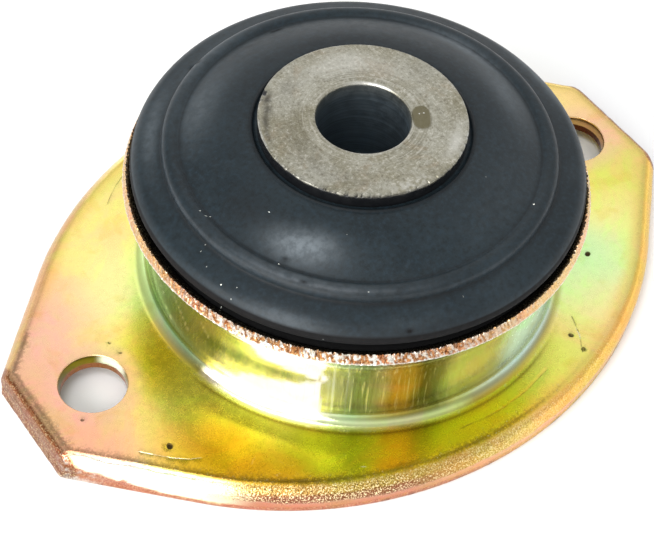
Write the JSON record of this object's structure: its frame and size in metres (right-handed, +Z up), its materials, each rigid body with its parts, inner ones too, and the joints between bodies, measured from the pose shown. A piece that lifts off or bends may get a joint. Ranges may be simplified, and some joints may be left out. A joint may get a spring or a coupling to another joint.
{
  "type": "engine mount",
  "caption": "Bonded rubber engine mount: a pressed steel flange with a drawn collar, a moulded rubber body and a steel sleeve for the main bolt.",
  "frame": {"origin": "on the bore axis, at the surface that the flange rim stands on", "axes": "+Z up along the bore, +X through the two bolt holes"},
  "size_m": [0.1002, 0.0728, 0.0311],
  "materials": {
    "plated_steel": "yellow iridescent zinc plating, glossy, scuffed",
    "moulded_rubber": "satin moulded black rubber with bloom and dust",
    "machined_steel": "turned and ground bare steel, lightly stained"
  },
  "bodies": {
    "root": {"flange": "plated_steel", "rubber_body": "moulded_rubber", "inner_sleeve": "machined_steel"}
  },
  "joints": []
}
